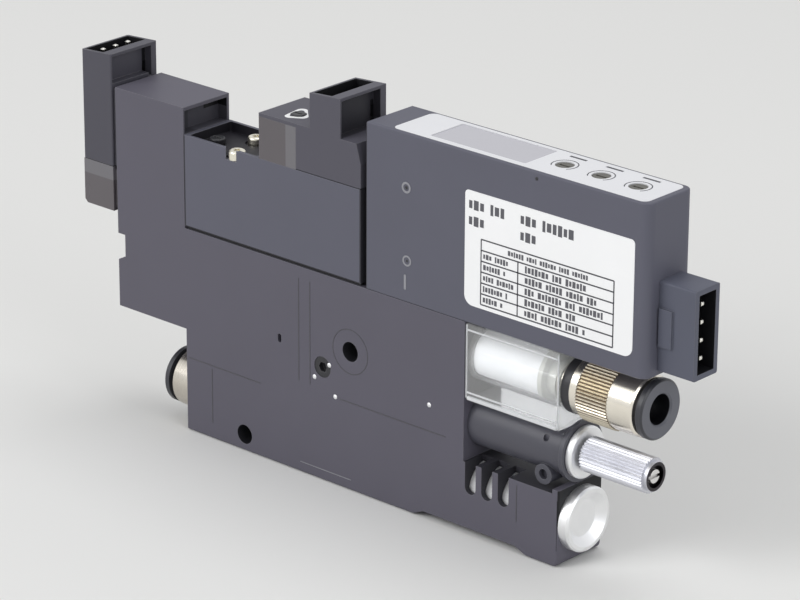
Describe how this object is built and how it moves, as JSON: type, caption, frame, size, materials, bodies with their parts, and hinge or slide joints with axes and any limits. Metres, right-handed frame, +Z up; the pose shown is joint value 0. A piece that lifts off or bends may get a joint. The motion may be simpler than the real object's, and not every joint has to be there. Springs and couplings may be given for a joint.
{
  "type": "vacuum ejector unit",
  "caption": "Slim vacuum ejector unit with supply and release solenoid valves, pressure switch, clear suction filter, needle valve, silencer and push-in tube fittings.",
  "frame": {"origin": "midway between the two mounting holes, in the middle of the unit's width", "axes": "+X along the unit to the vacuum port, +Y across the width away from the label side, +Z up to the pressure switch"},
  "size_m": [0.1255, 0.0104, 0.0651],
  "materials": {
    "slate_plastic": "fine moulded texture",
    "barrel_plastic": "smooth moulded",
    "black_plastic": "moulded",
    "sleeve_plastic": "smooth moulded",
    "smoky_lens": "smoky, translucent",
    "clear_plastic": "clear, polished",
    "display_grey": "smooth film",
    "white_panel": "satin film",
    "filter_white": "porous",
    "spacer_plastic": "smooth",
    "nickel": "nickel plate",
    "bright_steel": "turned",
    "pale_metal": "satin",
    "trimmer_plastic": "moulded",
    "brass": "turned",
    "rubber": "smooth",
    "aluminium": "turned",
    "copper": "enamelled wire",
    "iron": "zinc plated",
    "pin_metal": "tinned",
    "board_green": "laminate",
    "module_black": "moulded"
  },
  "bodies": {
    "unit": {"main_body": "slate_plastic", "valve_body": "slate_plastic", "switch_case": "slate_plastic", "supply_plug": "slate_plastic", "release_housing": "slate_plastic", "switch_plug": "slate_plastic", "needle_barrel": "barrel_plastic", "barrel_pins": "barrel_plastic", "vacuum_collar": "black_plastic", "supply_bobbin": "black_plastic", "release_bobbin": "black_plastic", "blanking_plug": "black_plastic", "supply_lens": "smoky_lens", "release_lens": "smoky_lens", "filter_case": "clear_plastic", "display_window": "display_grey", "switch_panel": "white_panel", "filter_element": "filter_white", "silencer_felt": "filter_white", "filter_spacer": "spacer_plastic", "supply_fitting": "nickel", "vacuum_fitting": "nickel", "valve_screws": "bright_steel", "supply_claw_ring": "bright_steel", "vacuum_claw_ring": "bright_steel", "check_valve_spring": "bright_steel", "spool_spring": "bright_steel", "supply_plunger_spring": "bright_steel", "exhaust_cap": "pale_metal", "nozzle": "brass", "diffuser": "brass", "check_valve_seat": "brass", "tube_seals": "rubber", "ejector_seals": "rubber", "filter_ring": "rubber", "needle_seal": "rubber", "valve_gasket": "rubber", "supply_winding": "copper", "release_winding": "copper", "supply_yoke": "iron", "release_core": "iron", "socket_pins": "pin_metal", "switch_plug_pins": "pin_metal", "circuit_board": "board_green", "display_module": "module_black", "pressure_cell": "module_black"},
    "supply_sleeve": {"supply_release_sleeve": "sleeve_plastic"},
    "vacuum_sleeve": {"vacuum_release_sleeve": "sleeve_plastic"},
    "supply_button": {"supply_override": "black_plastic"},
    "release_button": {"release_override": "black_plastic"},
    "supply_plunger": {"supply_plunger": "iron"},
    "release_plunger": {"release_plunger": "iron"},
    "spool": {"spool": "aluminium"},
    "check_poppet": {"check_valve_poppet": "rubber"},
    "needle": {"needle": "bright_steel"},
    "lock_nut": {"needle_lock_nut": "bright_steel"},
    "trimmer_1": {"trimmer_1": "trimmer_plastic"},
    "trimmer_2": {"trimmer_2": "trimmer_plastic"},
    "trimmer_3": {"trimmer_3": "trimmer_plastic"}
  },
  "joints": [
    {"name": "supply_sleeve_press", "type": "slide", "parent": "unit", "child": "supply_sleeve", "axis": [1, 0, 0], "range_m": [0, 0.0007], "stiffness_N_per_m": 500},
    {"name": "vacuum_sleeve_press", "type": "slide", "parent": "unit", "child": "vacuum_sleeve", "axis": [-1, 0, 0], "range_m": [0, 0.0007], "stiffness_N_per_m": 500},
    {"name": "supply_override_press", "type": "slide", "parent": "unit", "child": "supply_button", "axis": [0, 0, -1], "range_m": [0, 0.0006], "stiffness_N_per_m": 300},
    {"name": "release_override_press", "type": "slide", "parent": "unit", "child": "release_button", "axis": [0, 0, -1], "range_m": [0, 0.0004], "stiffness_N_per_m": 300},
    {"name": "supply_plunger_pull", "type": "slide", "parent": "unit", "child": "supply_plunger", "axis": [0, 0, 1], "range_m": [0, 0.0006], "stiffness_N_per_m": 200, "deforming": ["supply_plunger_spring"]},
    {"name": "release_plunger_pull", "type": "slide", "parent": "unit", "child": "release_plunger", "axis": [-1, 0, 0], "range_m": [0, 0.0006], "stiffness_N_per_m": 200},
    {"name": "spool_shift", "type": "slide", "parent": "unit", "child": "spool", "axis": [1, 0, 0], "range_m": [0, 0.0015], "stiffness_N_per_m": 300},
    {"name": "check_valve_lift", "type": "slide", "parent": "unit", "child": "check_poppet", "axis": [-1, 0, 0], "range_m": [0, 0.0012], "stiffness_N_per_m": 60},
    {"name": "needle_turn", "type": "hinge", "parent": "unit", "child": "needle", "pos_m": [0.06, 0, 0.0046], "axis": [1, 0, 0], "range_deg": [-720, 720]},
    {"name": "lock_nut_turn", "type": "hinge", "parent": "unit", "child": "lock_nut", "pos_m": [0.0555, 0, 0.0046], "axis": [1, 0, 0], "range_deg": [-360, 360]},
    {"name": "trimmer_1_turn", "type": "hinge", "parent": "unit", "child": "trimmer_1", "pos_m": [0.0503, 0, 0.04735], "axis": [0, 0, 1], "range_deg": [-135, 135]},
    {"name": "trimmer_2_turn", "type": "hinge", "parent": "unit", "child": "trimmer_2", "pos_m": [0.0573, 0, 0.04735], "axis": [0, 0, 1], "range_deg": [-135, 135]},
    {"name": "trimmer_3_turn", "type": "hinge", "parent": "unit", "child": "trimmer_3", "pos_m": [0.0643, 0, 0.04735], "axis": [0, 0, 1], "range_deg": [-135, 135]}
  ]
}
